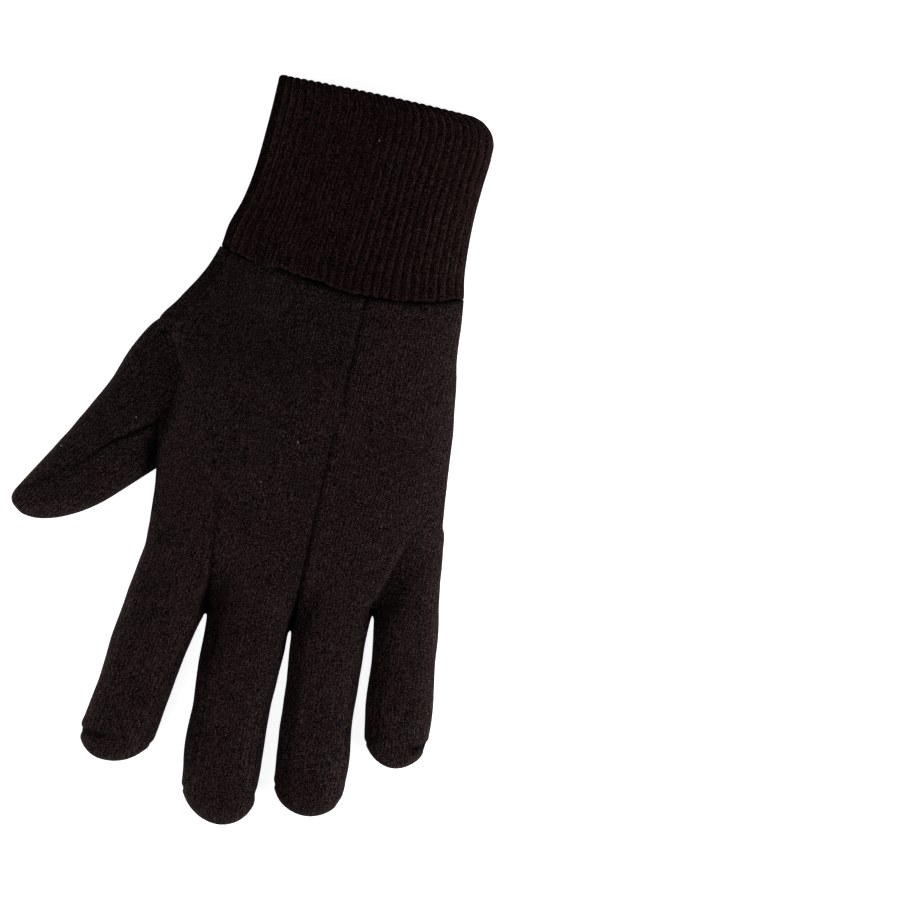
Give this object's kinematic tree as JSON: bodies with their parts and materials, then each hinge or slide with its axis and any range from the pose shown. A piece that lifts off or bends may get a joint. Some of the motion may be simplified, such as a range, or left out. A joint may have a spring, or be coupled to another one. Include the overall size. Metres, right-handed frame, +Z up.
{
  "type": "cotton work glove",
  "caption": "Knitted jersey work glove for the left hand, lying palm down, with a ribbed knit wrist, sewn panels and open hollow fingers.",
  "frame": {"origin": "under the middle of the glove's outline, on the surface it lies on", "axes": "+Y along the glove from the fingertips to the mouth of the wrist, +Z up from the surface through the palm to the back of the hand, thumb towards -X"},
  "size_m": [0.1602, 0.2622, 0.02],
  "materials": {
    "jersey": "matt fleece-backed cotton jersey, dark brown melange",
    "rib_knit": "matt double rib knit, dark brown melange"
  },
  "bodies": {
    "root": {"knit_cuff": "rib_knit", "palm_panel": "jersey", "back_panel_index": "jersey", "back_panel_middle": "jersey", "back_panel_ring_little": "jersey", "fourchette_index_middle": "jersey", "fourchette_middle_ring": "jersey", "fourchette_ring_little": "jersey", "thumb_back": "jersey", "thumb_front": "jersey"}
  },
  "joints": []
}
